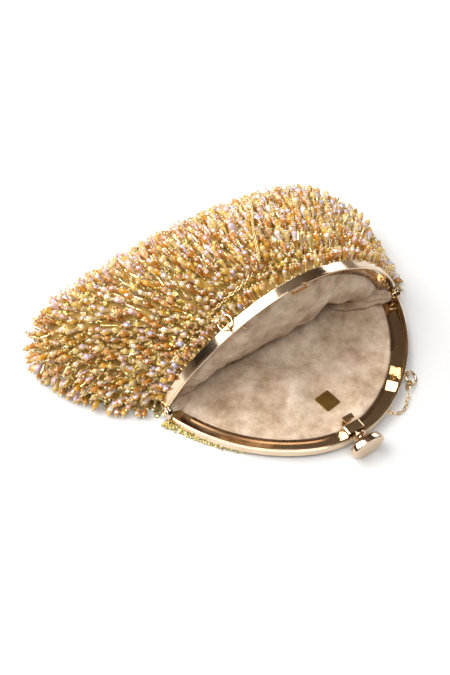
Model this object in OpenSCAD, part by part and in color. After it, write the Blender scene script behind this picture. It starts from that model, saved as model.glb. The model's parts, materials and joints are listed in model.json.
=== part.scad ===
// Evening bag with a hinged box frame, lying open on its back.
// All parts sit in one frame: X along the hinge axis, +Y towards the foot of the
// bag, +Z up. The origin is on the floor, under the middle of the bag's box.

/* [Frame] */
// Width of the frame from hinge to hinge
frame_w = 180; // [176:1:186]
// Depth of the arch from the hinge axis to its crown
frame_depth = 76.4; // [74:0.2:79]
// Radius of the crown of the arch
crown_r = 70; // [68:0.5:72]
// Radius of the two sides of the arch
side_r = 117; // [115:0.5:120]
// Height of the outer wall of one frame half
wall_h = 7.2; // [6.8:0.1:7.6]
// Thickness of the sheet metal of the wall
wall_t = 1.4; // [1:0.1:1.6]
// Width of the flange that carries the fabric
flange_w = 10.5; // [10:0.1:11]
// Thickness of the flange
flange_t = 1.2; // [1:0.1:1.3]
// Gap between each half's rim and the plane where they meet
rim_gap = 0.15; // [0.1:0.05:0.3]
// Angle that the front half stands open at rest
open_angle = 80.7; // [70:0.1:84]
// Height of the hinge axis above the floor
hinge_z = 10; // [9.8:0.1:10.4]

/* [Hinge] */
// Radius of the hinge ears
ear_r = 5; // [4.5:0.1:5.2]
// Thickness of one hinge ear
ear_t = 1.5; // [1.3:0.1:1.6]
// Radius of the hinge rivet
rivet_r = 1.3; // [1.1:0.1:1.5]
// Radial clearance of the rivet in the moving ear
rivet_gap = 0.05; // [0.03:0.01:0.08]

/* [Clasp] */
// Length of the oval push button
button_w = 22.5; // [20:0.5:24]
// Height of the oval push button
button_h = 16; // [14:0.5:17]
// Thickness of the oval push button
button_t = 5.5; // [4:0.1:6]
// Distance from the crown of the arch to the button's inner face
button_gap = 5.5; // [5.5:0.1:6]
// Height of the button's axis below the plane where the halves meet
button_drop = 0.7; // [0.5:0.1:0.9]
// Radius of the button's shaft
shaft_r = 1.5; // [1.3:0.1:1.6]

/* [Rings] */
// Distance of the left ring's loop from the middle of the frame
left_loop_x = 47; // [44:1:50]
// Distance of the right ring's loop from the middle of the frame
right_loop_x = 54; // [50:1:56]
// Radius of a ring to the middle of its wire
ring_r = 4.5; // [4.2:0.1:4.8]
// Radius of the ring's wire
ring_wire_r = 0.75; // [0.6:0.05:0.8]
// Radius of a loop to the middle of its wire
loop_r = 2.7; // [2.6:0.1:2.8]
// Radius of the loop's wire
loop_wire_r = 0.6; // [0.5:0.05:0.65]
// Tilt of the right ring away from straight down
right_ring_tilt = 52; // [51:1:75]

/* [Pouch] */
// Thickness of the layer of bead fringe on the front
fringe_t = 8.7; // [6:0.1:9]
// Thickness of the outer fabric
fabric_t = 1; // [0.8:0.1:1.2]
// Thickness of the padding between fabric and lining
padding_t = 1.6; // [1:0.1:1.8]
// Thickness of the lining
lining_t = 1; // [0.8:0.1:1.2]
// Distance of the pouch's fixed edge behind the hinge axis
mouth_y = 9; // [9:0.1:10]
// Height of the pouch's widest line above the floor
widest_z = 14; // [12:0.5:18]
// Roundness of the pouch's section, 2 for an ellipse and more for a fuller one
roundness = 2.15; // [2:0.05:2.5]
// Share of its reach by which the pouch is tucked in below its widest line
tuck = 0.1; // [0.05:0.01:0.12]

/* [Plate] */
// Width of the plain metal plate on the lining
plate_w = 11; // [9:0.5:14]
// Height of the plain metal plate on the lining
plate_h = 12; // [9:0.5:14]

/* [Chain] */
// Diameter of the chain
chain_d = 2.2; // [2:0.1:2.3]

/* [Hidden] */

$fn = 96;
eps = 0.01;
half_w = frame_w / 2;

// Three-centred arch: crown arc about [0, crown_c], side arcs tangent to it.
crown_c = frame_depth - crown_r;
arc_step = side_r - crown_r;
crown_reach = sqrt(half_w * half_w + crown_c * crown_c);
crown_half = asin((side_r * side_r - arc_step * arc_step - crown_reach * crown_reach)
    / (2 * arc_step * crown_reach)) + atan(crown_c / half_w);
side_cx = arc_step * sin(crown_half);
side_cd = crown_c - arc_step * cos(crown_half);

// Widest line of the pouch, seen from above, from the left hinge round the foot
// of the bag to the right hinge, relative to the middle of the hinge axis
pouch_edge = [[-99, 9], [-124, 32], [-144, 76], [-124, 99], [-62, 104],
              [10, 110], [80, 103], [107, 60], [99, 9]];
edge_steps = 30;
edge_points = [for (i = [0:edge_steps]) along(pouch_edge, i / edge_steps)];
edge_x = [for (p = edge_points) p[0]];
edge_y = [for (p = edge_points) p[1]];
button_y = -(frame_depth + button_gap + button_t);

// The hinge axis in the part's own frame
hinge = [-(min(edge_x) + max(edge_x)) / 2, -(max(edge_y) + button_y) / 2, hinge_z];

// Distance of a loop's middle below the plane where the halves meet
loop_t = 3.7;

// Layers of the pouch, measured inwards from the tips of the fringe
layer_gap = 0.3;
fabric_in = fringe_t + layer_gap;
padding_in = fabric_in + fabric_t + 0.2;
lining_in = padding_in + padding_t + 0.2;
floor_fringe_t = 1.6;
back_fabric_top = floor_fringe_t + fabric_t;
back_lining_low = back_fabric_top + 0.2;
back_lining_top = back_lining_low + 1.2;
band_in = flange_w + 3.5;

// The front lining's roof above the floor, and the share of it that hangs down
roof_z = 20;
curtain_turn = 0.2;

// Columns and rows of the pouch's shells
shell_columns = edge_steps;
shell_rows = 12;
seam_turn = 0.75;

// Depth positions of the latch, measured from the hinge axis
hook_d = frame_depth - 11.8;
hook_t = 1.2;
bar_d = frame_depth - 10.2;
house_d = frame_depth - 8.4;
pocket_d = frame_depth - 7;
collar_d = frame_depth - 4;
house_end_d = frame_depth - 2;

// The chain's route, from the right ring round behind the bag to the left ring
chain_route = [[66, -77.5, 3.4], [62, -81, 1.8], [57, -84.5, 1.35], [50.5, -84, 1.35],
               [48, -78, 1.35], [52, -72.5, 1.35], [61, -67, 1.35], [70, -60, 1.35],
               [79, -51.5, 1.35], [88, -40.5, 1.35], [96, -28, 1.35], [103, -18, 1.35],
               [111, -11, 1.35], [117.5, -4.5, 1.35], [121.5, 6, 1.35], [125.5, 20, 1.35],
               [127.5, 36, 1.35], [126, 50, 1.35], [119, 66, 1.35], [110, 80, 1.35],
               [97, 90, 1.35], [80, 95.5, 1.35], [66, 98, 1.6], [58.5, 100.3, 5],
               [55, 101, 14], [53, 98, 29], [51, 90, 43], [46, 75, 58], [34, 54, 72],
               [21, 34.5, 82], [10, 14, 88], [5, 4.5, 88], [-4, -1, 85.4], [-13, -2.8, 82],
               [-22, -3, 78], [-30, -3, 73], [-36, -3.2, 67.7]];

function unit(v) = v / norm(v);
function catmull(a, b, c, d, t) =
    0.5 * (2 * b + (c - a) * t + (2 * a - 5 * b + 4 * c - d) * t * t
        + (3 * b - a - 3 * c + d) * t * t * t);
function along(pts, s) =
    let (n = len(pts) - 1, i = min(floor(s * n), n - 1), t = s * n - i,
         a = i > 0 ? pts[i - 1] : 2 * pts[0] - pts[1],
         d = i < n - 1 ? pts[i + 2] : 2 * pts[n] - pts[n - 1])
    catmull(a, pts[i], pts[i + 1], d, t);

// Depth of the arch at x, for a copy of the arch set in by inset
function arch_d(x, inset) =
    abs(x) < (crown_r - inset) * sin(crown_half)
        ? crown_c + sqrt(pow(crown_r - inset, 2) - x * x)
        : side_cd + sqrt(pow(side_r - inset, 2) - pow(abs(x) + side_cx, 2));
function half_foot(inset) = sqrt(pow(side_r - inset, 2) - side_cd * side_cd) - side_cx;

// Edge of the pouch set in by inset
function edge_at(s, inset) =
    let (h = 0.004, a = along(pouch_edge, max(s - h, 0)), b = along(pouch_edge, min(s + h, 1)),
         t = unit(b - a))
    along(pouch_edge, s) + inset * [t[1], -t[0]];

// Point of the front of the pouch. s runs along the mouth. turn runs from the
// mouth (0) over the top to the widest line (seam_turn) and in under it, down to
// the level low above the floor (1).
function pouch_point(s, turn, inset, low) =
    let (x = -half_foot(inset) * cos(180 * s), top = hinge_z + arch_d(x, inset),
         wide_z = min(widest_z, 0.4 * top), edge = edge_at(s, inset),
         over = 90 * min(turn / seam_turn, 1),
         under = 90 * max((turn - seam_turn) / (1 - seam_turn), 0),
         reach = pow(sin(over), 2 / roundness) - tuck * (1 - cos(under)),
         z = wide_z + (top - wide_z) * pow(cos(over), 2 / roundness)
             - (wide_z - low) * sin(under))
    [x + (edge[0] - x) * reach, mouth_y + (edge[1] - mouth_y) * reach, z - hinge_z];

// Point of the front lining. It hangs from the mouth like a curtain down to its
// roof, then runs in under the front panel. Its outer face stands lining_t off.
function lining_point(s, turn, inset, low) =
    let (off = lining_in + lining_t - inset, fall = min(turn / curtain_turn, 1),
         past = max((turn - curtain_turn) / (1 - curtain_turn), 0),
         p = pouch_point(s, past, inset, low), top = p[2] + hinge_z,
         roof = min(roof_z, max(top, pouch_point(s, 0, inset, low)[2] + hinge_z) - 2) + off,
         z = top + (min(top, roof) - top) * fall)
    [p[0], p[1] + off * max(1 - 6 * past, 0), z - hinge_z];

// Outward direction of the arch's wall at x, in the plane of the arch
function wall_angle(x) = atan2(x + sign(x) * side_cx, arch_d(x, 0) - side_cd);

module at_hinge() { translate(hinge) children(); }

// Places a piece of the front half. It is drawn as on the back half, with the
// depth along -Y and the thickness along -Z.
module on_front() {
    at_hinge() rotate([-open_angle, 0, 0]) mirror([0, 0, 1]) children();
}

module arch(inset) {
    intersection() {
        translate([-half_w - 1, -frame_depth - 1]) square([frame_w + 2, frame_depth + 1]);
        union() {
            translate([0, -crown_c]) circle(crown_r - inset);
            intersection() {
                translate([-side_cx, -side_cd]) circle(side_r - inset);
                translate([side_cx, -side_cd]) circle(side_r - inset);
                translate([-half_w - 1, -crown_c - (crown_r - inset) * cos(crown_half)])
                    square([frame_w + 2, frame_depth]);
            }
        }
    }
}

module arch_band(outer, inner, top, thick) {
    translate([0, 0, -top - thick]) linear_extrude(thick) difference() {
        arch(outer);
        arch(inner);
    }
}

module ear(x, r) { translate([x, 0, 0]) rotate([0, 90, 0]) cylinder(r = r, h = ear_t); }

// One half of the frame. ear_in is how far its ears stand inside the ends.
module frame_half(ear_in, other_in, bore_r, slot_r) {
    difference() {
        union() {
            difference() {
                union() {
                    arch_band(0, wall_t, rim_gap, wall_h - rim_gap);
                    arch_band(0, flange_w, wall_h - flange_t, flange_t);
                }
                for (side = [-1, 1])
                    translate([side * (half_w - other_in - ear_t / 2), 0, 0])
                        rotate([0, 90, 0])
                            cylinder(r = ear_r + 0.5, h = ear_t + 0.3, center = true);
            }
            for (side = [-1, 1])
                translate([side * (half_w - ear_in - ear_t / 2) - ear_t / 2, 0, 0])
                    ear(0, ear_r);
        }
        rotate([0, 90, 0]) cylinder(r = bore_r, h = frame_w + 4, center = true);
        translate([0, -frame_depth + 4, -button_drop * slot_r[1]]) rotate([90, 0, 0])
            cylinder(r = slot_r[0], h = 6);
    }
}

module back_frame() {
    color("burlywood") at_hinge() frame_half(0, ear_t + 0.15, rivet_r, [shaft_r + 0.4, 1]);
}

module front_frame() {
    color("burlywood") on_front()
        frame_half(ear_t + 0.15, 0, rivet_r + rivet_gap, [shaft_r + 0.4, -1]);
}

// A rivet at each end, with a domed head outside and a flat head inside
module hinge_rivets() {
    head_r = 2.3;
    inner_x = half_w - 2 * ear_t - 0.75;
    color("goldenrod") at_hinge() for (side = [0, 1]) mirror([side, 0, 0]) {
        translate([inner_x, 0, 0]) rotate([0, 90, 0])
            cylinder(r = rivet_r, h = half_w - inner_x + 0.4);
        translate([inner_x - 0.7, 0, 0]) rotate([0, 90, 0]) cylinder(r = head_r, h = 0.7);
        translate([half_w, 0, 0]) rotate([0, 90, 0]) cylinder(r1 = head_r, r2 = 1.6, h = 0.9);
    }
}

// Thin washers under the inner rivet heads
module hinge_washers() {
    color("goldenrod") at_hinge() for (side = [0, 1]) mirror([side, 0, 0])
        translate([half_w - 2 * ear_t - 0.65, 0, 0]) rotate([0, 90, 0]) difference() {
            cylinder(r = 2.8, h = 0.35);
            translate([0, 0, -1]) cylinder(r = rivet_r + 0.1, h = 3);
        }
}

// Strip that clamps the fabric's edge against the inner edge of a flange
module channel_strip(bracket_x, gap_w) {
    difference() {
        arch_band(flange_w - 2, flange_w, wall_h - flange_t - 1.05, 1);
        translate([-9, -frame_depth - 1, -wall_h]) cube([18, 14, wall_h]);
        translate([bracket_x - gap_w / 2, -frame_depth, -wall_h])
            cube([gap_w, frame_depth, wall_h]);
        translate([-half_w, -9, -wall_h]) cube([frame_w, 10, wall_h]);
    }
}

module back_channel_strip() {
    color("saddlebrown") at_hinge() channel_strip(right_loop_x - 6, 24);
}

module front_channel_strip() {
    color("saddlebrown") on_front() channel_strip(-left_loop_x + 6, 24);
}

module along_shaft(d) { translate([0, -d, -button_drop]) rotate([-90, 0, 0]) children(); }

// Block inside the crown of the back half, bored for the shaft and its spring
module latch_housing() {
    top = 2.3;
    half_l = 6.5;
    color("burlywood") at_hinge() difference() {
        translate([-half_l, -house_end_d, -(wall_h - flange_t)])
            cube([2 * half_l, house_end_d - house_d, wall_h - flange_t + top]);
        along_shaft(house_end_d + 1) cylinder(r = shaft_r + 0.06, h = 12);
        along_shaft(house_end_d + eps) cylinder(r = 2.7, h = house_end_d - pocket_d);
    }
}

// Stepped collar round the shaft on the outside of the crown
module clasp_bezel() {
    color("burlywood") at_hinge() along_shaft(frame_depth + 3.4) difference() {
        union() {
            cylinder(r1 = 3.2, r2 = 4.2, h = 2);
            translate([0, 0, 2]) cylinder(r = 4.6, h = 1.2);
        }
        translate([0, 0, -1]) cylinder(r = shaft_r + 0.3, h = 9);
    }
}

// Oval head, shaft and the collar that pushes the spring
module clasp_button() {
    color("wheat") at_hinge() {
        translate([0, -frame_depth - button_gap, -button_drop]) rotate([90, 0, 0])
            linear_extrude(button_t) oval(button_w, button_h);
        along_shaft(frame_depth + button_gap + 1)
            cylinder(r = shaft_r, h = button_gap + 1 + frame_depth - hook_d + hook_t);
        along_shaft(collar_d + 0.8) cylinder(r = 2.5, h = 0.8);
    }
}

// Oval outline from two end arcs and two long side arcs
module oval(w, h) {
    end_r = h * 0.42;
    end_c = w / 2 - end_r;
    long_r = (end_c * end_c + h * h / 4 - end_r * end_r) / (h - 2 * end_r);
    union() {
        intersection() {
            translate([0, h / 2 - long_r]) circle(long_r);
            translate([0, long_r - h / 2]) circle(long_r);
            square([2 * end_c * long_r / (long_r - end_r), 2 * h], center = true);
        }
        for (side = [-1, 1]) translate([side * end_c, 0]) circle(end_r);
    }
}

// Upright plate with a barb that holds the catch's bar
module latch_hook() {
    color("goldenrod") at_hinge() translate([0, -hook_d, -button_drop]) difference() {
        union() {
            translate([-3.5, 0, -3]) cube([7, hook_t, 8]);
            translate([-3.5, -2.2, 3.8]) cube([7, 2.3, 1.2]);
        }
        translate([0, -1, 0]) rotate([-90, 0, 0]) cylinder(r = shaft_r, h = hook_t + 2);
    }
}

// Coil spring between the housing and the shaft's collar, as a plain sleeve
module button_spring() {
    color("gray") at_hinge() along_shaft(collar_d - 0.02) difference() {
        cylinder(r = 2.4, h = collar_d - pocket_d - 0.04);
        translate([0, 0, -1]) cylinder(r = shaft_r + 0.2, h = 9);
    }
}

// Staple on the front half whose bar snaps under the barb
module catch_staple() {
    leg_w = 1.2;
    bar_h = 1.4;
    bar_low = 1.4;
    color("goldenrod") on_front() translate([0, -bar_d, 0]) {
        for (side = [0, 1]) mirror([side, 0, 0])
            translate([4.2, -1.2, -(wall_h - flange_t)])
                cube([leg_w, 1.2, wall_h - flange_t - bar_low]);
        translate([-4.3, -1.2, -bar_low - bar_h]) cube([8.6, 1.2, bar_h]);
    }
}

// Runs children at a point of the wall: X along the wall, Y outwards, Z unchanged
module at_wall(x) {
    translate([x, -arch_d(x, 0), 0]) rotate([0, 0, 180 + wall_angle(x)])
        children();
}

// Open box inside the channel, behind a ring's loop
module bracket(length) {
    wall = 0.8;
    depth = 7.4;
    base_depth = 5.4;
    height = wall_h - flange_t - 0.8;
    translate([-length / 2, -wall_t - depth - 0.6, -(wall_h - flange_t)]) {
        cube([length, base_depth, wall]);
        for (x = [0, length - wall]) translate([x, 0, 0]) cube([wall, depth, height]);
    }
}

module left_bracket() { color("burlywood") on_front() at_wall(-left_loop_x) bracket(12.6); }

module right_bracket() {
    color("burlywood") at_hinge() at_wall(right_loop_x) translate([4, 0, 0]) bracket(12.6);
}

module torus(ring, wire) { rotate_extrude() translate([ring, 0]) circle(wire, $fn = 32); }

// Wire loop through the wall, square to the wall's run
module wall_loop() { translate([0, 0, -loop_t]) rotate([0, 90, 0]) torus(loop_r, loop_wire_r); }

module left_loop() { color("goldenrod") on_front() at_wall(-left_loop_x) wall_loop(); }
module right_loop() { color("goldenrod") at_hinge() at_wall(right_loop_x) wall_loop(); }

// Ring through the outer half of a loop. tilt 0 lies along the wall, 90 stands out
module wall_ring(tilt) {
    translate([0, 1, -loop_t]) rotate([tilt, 0, 0]) translate([0, 0, -ring_r]) rotate([90, 0, 0])
        torus(ring_r, ring_wire_r);
}

module left_ring() { color("gold") on_front() at_wall(-left_loop_x) wall_ring(0); }
module right_ring() {
    color("gold") at_hinge() at_wall(right_loop_x) wall_ring(right_ring_tilt);
}

// Point of the edge of a sheet that lies inside the tucked-in foot of the pouch
function sheet_point(s, inset) =
    let (p = pouch_point(s, 1, inset, back_fabric_top + 0.1)) [p[0], p[1]];

// Flat sheet between two levels above the floor, over the pouch's edge and the
// part inside the back half of the frame
module floor_sheet(low, high, edge_inset, arch_inset) {
    steps = 48;
    translate([hinge[0], hinge[1], low]) linear_extrude(high - low) union() {
        polygon([for (i = [0:steps]) sheet_point(i / steps, edge_inset)]);
        arch(arch_inset);
        translate([-half_foot(arch_inset) + 1, -1])
            square([2 * half_foot(arch_inset) - 2, mouth_y + 14]);
    }
}

// Closed shell between two insets of the front of the pouch, or of its sagging lining
module pouch_shell(inset, thick, low, sagging = false) {
    cols = shell_columns;
    rows = shell_rows;
    side = (cols + 1) * (rows + 1);
    points = [for (k = [inset, inset + thick], i = [0:cols], j = [0:rows])
        sagging ? lining_point(i / cols, j / rows, k, low)
                : pouch_point(i / cols, j / rows, k, low)];
    function at(k, i, j) = k * side + i * (rows + 1) + j;
    faces = [
        for (i = [0:cols - 1], j = [0:rows - 1]) each [
            [at(0, i, j), at(0, i + 1, j), at(0, i + 1, j + 1)],
            [at(0, i, j), at(0, i + 1, j + 1), at(0, i, j + 1)],
            [at(1, i, j), at(1, i + 1, j + 1), at(1, i + 1, j)],
            [at(1, i, j), at(1, i, j + 1), at(1, i + 1, j + 1)]],
        for (i = [0:cols - 1]) each [
            [at(0, i, 0), at(1, i, 0), at(1, i + 1, 0)],
            [at(0, i, 0), at(1, i + 1, 0), at(0, i + 1, 0)],
            [at(0, i, rows), at(1, i + 1, rows), at(1, i, rows)],
            [at(0, i, rows), at(0, i + 1, rows), at(1, i + 1, rows)]],
        for (j = [0:rows - 1]) each [
            [at(0, 0, j), at(1, 0, j + 1), at(1, 0, j)],
            [at(0, 0, j), at(0, 0, j + 1), at(1, 0, j + 1)],
            [at(0, cols, j), at(1, cols, j), at(1, cols, j + 1)],
            [at(0, cols, j), at(1, cols, j + 1), at(0, cols, j + 1)]]];
    at_hinge() polyhedron(points, faces, convexity = 6);
}

module back_fringe() {
    color("darkgoldenrod") floor_sheet(0, floor_fringe_t - 0.05, fabric_in, flange_w + 0.3);
}
module back_fabric() {
    color("olive") floor_sheet(floor_fringe_t, back_fabric_top, fabric_in, flange_w + 0.3);
}
module back_lining() {
    color("tan") floor_sheet(back_lining_low, back_lining_top, lining_in, flange_w + 0.3);
}
module front_fringe() { color("darkgoldenrod") pouch_shell(0, fringe_t, 0.05); }
module front_fabric() { color("olive") pouch_shell(fabric_in, fabric_t, back_fabric_top + 0.1); }
module front_padding() {
    color("ivory") pouch_shell(padding_in, padding_t, back_fabric_top + 0.1);
}
module front_lining() {
    color("tan") pouch_shell(lining_in, lining_t, back_lining_top + 0.1, sagging = true);
}

// Edges of fabric and lining that are glued to the front half of the frame
module front_fabric_band() {
    color("olive") on_front() arch_band(4, band_in, wall_h + 0.02, 1);
}
module front_lining_band() {
    color("tan") on_front() arch_band(flange_w + 0.05, band_in, wall_h - flange_t - 0.6, 1.6);
}

// Plain plate with rounded corners on the lining
module maker_plate() {
    corner_r = 1;
    color("darkgoldenrod")
        translate([hinge[0] + 1.5, hinge[1] - 43.5, back_lining_top]) rotate([0, 0, 8])
            linear_extrude(0.7) union() {
                square([plate_w - 2 * corner_r, plate_h], center = true);
                square([plate_w, plate_h - 2 * corner_r], center = true);
                for (x = [-1, 1], y = [-1, 1])
                    translate([x * (plate_w / 2 - corner_r), y * (plate_h / 2 - corner_r)])
                        circle(corner_r);
            }
}

// Stadium-shaped wire link, long way along X
module long_link(length, width, wire) {
    bend = width / 2 - wire;
    run = length - width;
    for (side = [-1, 1]) {
        translate([-run / 2, side * bend, 0]) rotate([0, 90, 0]) cylinder(r = wire, h = run);
        translate([side * run / 2, 0, 0]) rotate([0, 0, side > 0 ? -90 : 90])
            rotate_extrude(angle = 180) translate([bend, 0]) circle(wire, $fn = 32);
    }
}

// Link hooked on a ring whose middle is the origin and whose axis is Y. turn is
// where it hangs round the ring.
module link_on_ring(turn) {
    wire = 0.65;
    length = 7.4;
    slack = 0.15;
    rotate([0, turn, 0])
        translate([0, 0, -ring_r + ring_wire_r + slack + 2 * wire - length / 2])
            rotate([0, 90, 0]) long_link(length, 4.8, wire);
}

module left_end_link() {
    color("gold") on_front() at_wall(-left_loop_x)
        translate([0, 1, -loop_t - ring_r]) link_on_ring(-45);
}

module right_end_link() {
    color("gold") at_hinge() at_wall(right_loop_x)
        translate([0, 1, -loop_t]) rotate([right_ring_tilt, 0, 0])
            translate([0, 0, -ring_r]) link_on_ring(-90);
}

// Short spare end of the chain that lies in the right bracket
module tail_links() {
    color("gold") at_hinge() at_wall(right_loop_x) translate([6, -6, -3.4]) long_link(7, 4, 0.6);
}

// Plain tube along the chain's route
module chain_strap() {
    sides = 8;
    rings = 78;
    function centre(i) = along(chain_route, i / rings);
    function heading(i) = unit(centre(min(i + 0.5, rings)) - centre(max(i - 0.5, 0)));
    function ring_point(i, k) =
        let (t = heading(i), a = unit(cross(t, [0.13, 0.21, 0.97])), b = cross(t, a),
             w = 360 * k / sides)
        centre(i) + chain_d / 2 * (a * cos(w) + b * sin(w));
    points = [for (i = [0:rings], k = [0:sides - 1]) ring_point(i, k)];
    walls = [for (i = [0:rings - 1], k = [0:sides - 1]) let (n = (k + 1) % sides)
        each [[i * sides + k, i * sides + n, (i + 1) * sides + n],
              [i * sides + k, (i + 1) * sides + n, (i + 1) * sides + k]]];
    ends = [[for (k = [sides - 1:-1:0]) k], [for (k = [0:sides - 1]) rings * sides + k]];
    color("gold") polyhedron(points, concat(walls, ends), convexity = 8);
}

back_frame();
front_frame();
hinge_rivets();
hinge_washers();
back_channel_strip();
front_channel_strip();
latch_housing();
clasp_bezel();
clasp_button();
latch_hook();
button_spring();
catch_staple();
left_bracket();
right_bracket();
left_loop();
right_loop();
left_ring();
right_ring();
back_fringe();
front_fringe();
back_fabric();
front_fabric();
front_padding();
back_lining();
front_lining();
front_fabric_band();
front_lining_band();
maker_plate();
left_end_link();
right_end_link();
tail_links();
chain_strap();
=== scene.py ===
"""Looks of an evening bag that lies open on its back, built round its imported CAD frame.

Lengths inside the script are millimetres from the middle of the hinge axis, with the
axes of the part's frame, until metres() turns them into the frame's own metres.
"""
import json
import math

import bpy
import numpy as np
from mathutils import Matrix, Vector, noise


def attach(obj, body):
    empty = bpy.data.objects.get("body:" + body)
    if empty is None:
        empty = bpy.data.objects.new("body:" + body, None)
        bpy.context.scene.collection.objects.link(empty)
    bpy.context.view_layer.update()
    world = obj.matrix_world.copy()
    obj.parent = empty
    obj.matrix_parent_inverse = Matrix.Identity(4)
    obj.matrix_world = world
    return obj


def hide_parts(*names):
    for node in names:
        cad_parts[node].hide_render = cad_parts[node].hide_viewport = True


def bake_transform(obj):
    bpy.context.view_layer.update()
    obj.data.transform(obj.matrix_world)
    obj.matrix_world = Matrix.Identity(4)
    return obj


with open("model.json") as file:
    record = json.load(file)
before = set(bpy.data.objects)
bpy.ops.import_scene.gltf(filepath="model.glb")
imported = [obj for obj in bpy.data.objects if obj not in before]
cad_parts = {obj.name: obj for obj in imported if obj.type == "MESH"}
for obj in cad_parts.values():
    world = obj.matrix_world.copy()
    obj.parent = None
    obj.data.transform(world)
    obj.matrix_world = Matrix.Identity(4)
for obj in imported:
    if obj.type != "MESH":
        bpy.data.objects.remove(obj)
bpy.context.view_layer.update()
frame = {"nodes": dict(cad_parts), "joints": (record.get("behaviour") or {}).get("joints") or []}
rng = np.random.default_rng(7)

# --- Sizes, as the CAD part has them ---

joints = {j["name"]: j for j in frame["joints"]}
HINGE = np.array(joints["frame_hinge"]["pos_m"]) * 1000
OPEN = math.radians(joints["frame_hinge"]["range_deg"][1])
FLOOR = -HINGE[2]

HALF_W, FRAME_DEPTH, CROWN_R, SIDE_R = 90, 76.4, 70, 117
WALL_H, WALL_T, FLANGE_W, FLANGE_T, RIM_GAP = 7.2, 1.4, 10.5, 1.2, 0.15
EAR_R, EAR_T, EAR_GAP = 5, 1.5, 0.15
BUTTON_W, BUTTON_H, BUTTON_T, BUTTON_GAP, BUTTON_DROP = 22.5, 16, 5.5, 5.5, 0.7
SHAFT_R = 1.5
PLATE = np.array([1.5, -43.5])

# The pouch's front, and how far in from the frame's outside each layer of cloth starts
MOUTH_Y, WIDEST_Z, ROUNDNESS, TUCK, SEAM_TURN = 9, 14, 2.15, 0.1, 0.75
FABRIC_IN, PADDING_IN, LINING_IN = 9, 10.4, 12.2
POUCH_EDGE = np.array([[-99, 9], [-124, 32], [-144, 76], [-124, 99], [-62, 104],
                       [10, 110], [80, 103], [107, 60], [99, 9]], float)

CROWN_C = FRAME_DEPTH - CROWN_R
ARC_STEP = SIDE_R - CROWN_R
CROWN_REACH = math.hypot(HALF_W, CROWN_C)
CROWN_HALF = (math.asin((SIDE_R ** 2 - ARC_STEP ** 2 - CROWN_REACH ** 2)
                        / (2 * ARC_STEP * CROWN_REACH)) + math.atan(CROWN_C / HALF_W))
SIDE_CX = ARC_STEP * math.sin(CROWN_HALF)
SIDE_CD = CROWN_C - ARC_STEP * math.cos(CROWN_HALF)

# --- Sizes of the cloth and the beads ---

FABRIC_T, PADDING_T, LINING_T = 0.6, 1.3, 0.5
FABRIC_LOW, PADDING_LOW, LINING_LOW = 2.7, 2.8, 4.3
DROP_L, BUGLE_L, SEED_L, SEED_R = 8.0, 5.0, 1.2, 0.85
STRAND_LOW = 3.3
TINY = 1e-9


# --- Outlines and surfaces ---

def unit(vectors):
    return vectors / (np.linalg.norm(vectors, axis=-1, keepdims=True) + TINY)


def axes_across(heading, reference, spin=0.0):
    """Two unit vectors across each heading, turned about it by spin."""
    side = unit(np.cross(heading, reference))
    spin = np.asarray(spin)[..., None]
    first = side * np.cos(spin) + np.cross(heading, side) * np.sin(spin)
    return first, np.cross(heading, first)


def circle(count):
    """Angles evenly spaced round a turn."""
    return np.linspace(0, 2 * math.pi, count, endpoint=False)


def run_along(points):
    """Distance travelled at each point of a line."""
    return np.concatenate([[0], np.cumsum(np.linalg.norm(np.diff(points, axis=0), axis=1))])


def along(points, share):
    """Points at these shares of a smooth line through the given points."""
    points = np.asarray(points, float)
    last = len(points) - 1
    share = np.clip(np.asarray(share, float), 0, 1)
    i = np.minimum((share * last).astype(int), last - 1)
    t = (share * last - i)[..., None]
    padded = np.vstack([2 * points[0] - points[1], points, 2 * points[-1] - points[-2]])
    a, b, c, d = padded[i], padded[i + 1], padded[i + 2], padded[i + 3]
    return 0.5 * (2 * b + (c - a) * t + (2 * a - 5 * b + 4 * c - d) * t ** 2
                  + (3 * b - a - 3 * c + d) * t ** 3)


def arch_depth(x, inset):
    x = np.abs(x)
    crown = CROWN_C + np.sqrt(np.maximum((CROWN_R - inset) ** 2 - x ** 2, 0))
    side = SIDE_CD + np.sqrt(np.maximum((SIDE_R - inset) ** 2 - (x + SIDE_CX) ** 2, 0))
    return np.where(x < (CROWN_R - inset) * math.sin(CROWN_HALF), crown, side)


def half_foot(inset):
    return np.sqrt((SIDE_R - inset) ** 2 - SIDE_CD ** 2) - SIDE_CX


def wall_angle(x):
    return math.atan2(x + math.copysign(SIDE_CX, x), float(arch_depth(x, 0)) - SIDE_CD)


def arch_x(share, inset):
    """X at a share from -1 to 1 of the arch, with its steps closer near the hinges."""
    return half_foot(inset) * np.sin(np.pi / 2 * share)


def edge_at(s, inset):
    step = 0.004
    heading = unit(along(POUCH_EDGE, np.minimum(s + step, 1))
                   - along(POUCH_EDGE, np.maximum(s - step, 0)))
    return along(POUCH_EDGE, s) + inset * np.stack([heading[..., 1], -heading[..., 0]], -1)


def pouch(s, turn, inset, low=0.05):
    """Points on the front of the pouch, as the CAD part's shells have them."""
    s, turn = np.broadcast_arrays(np.asarray(s, float), np.asarray(turn, float))
    x = -half_foot(inset) * np.cos(math.pi * s)
    top = -FLOOR + arch_depth(x, inset)
    edge = edge_at(s, inset)
    wide = np.minimum(WIDEST_Z, 0.4 * top)
    over = np.pi / 2 * np.minimum(turn / SEAM_TURN, 1)
    under = np.pi / 2 * np.maximum((turn - SEAM_TURN) / (1 - SEAM_TURN), 0)
    reach = np.sin(over) ** (2 / ROUNDNESS) - TUCK * (1 - np.cos(under))
    rise = np.maximum(np.cos(over), 0) ** (2 / ROUNDNESS)
    z = wide + (top - wide) * rise - (wide - low) * np.sin(under)
    return np.stack([x + (edge[..., 0] - x) * reach,
                     MOUTH_Y + (edge[..., 1] - MOUTH_Y) * reach, z + FLOOR], -1)


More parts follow.
